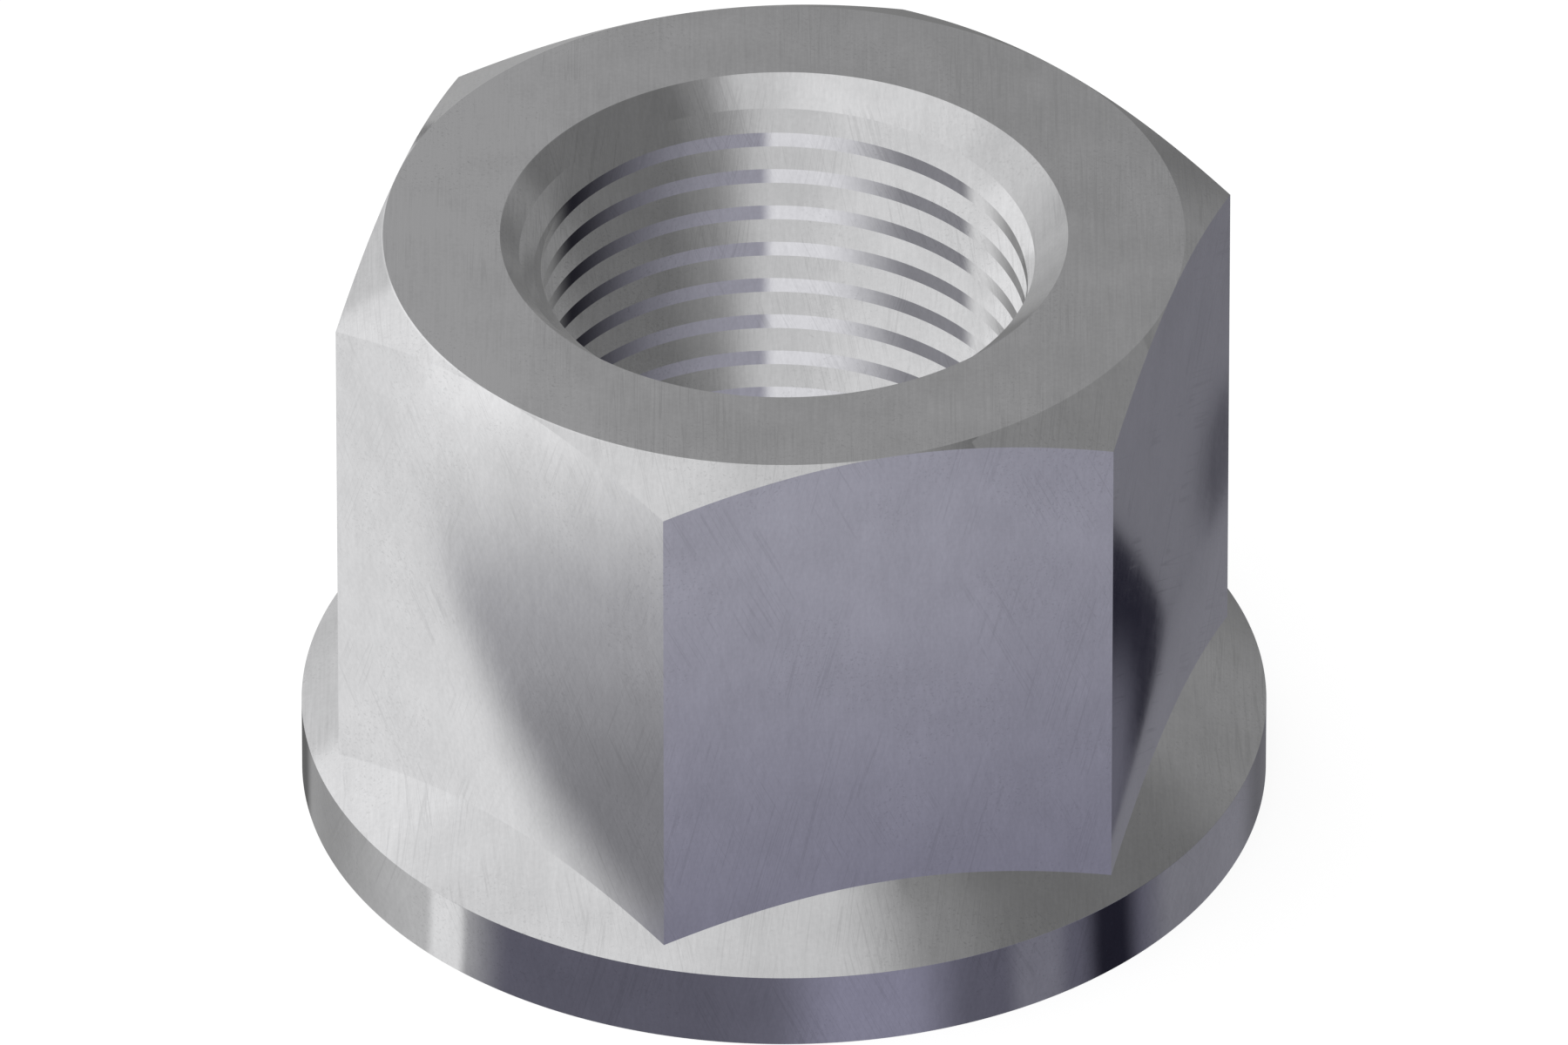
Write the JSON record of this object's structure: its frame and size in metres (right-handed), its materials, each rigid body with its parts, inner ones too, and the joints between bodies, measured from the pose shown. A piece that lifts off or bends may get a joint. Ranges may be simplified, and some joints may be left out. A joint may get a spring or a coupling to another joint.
{
  "type": "hexagon collar lock nut",
  "caption": "Tall hexagon nut with a round collar formed in one piece, a sloping collar top, chamfered corners and a countersunk fine-pitch through thread.",
  "frame": {"origin": "centre of the collar's flat bearing face, on the thread's axis", "axes": "+Z along the thread's axis from the bearing face to the top face, +X through a corner of the hexagon, +Y square to a pair of flats"},
  "size_m": [0.0436, 0.0436, 0.0291],
  "materials": {
    "steel": "bare machined steel, finely scratched, satin"
  },
  "bodies": {
    "root": {"collar_nut": "steel"}
  },
  "joints": []
}
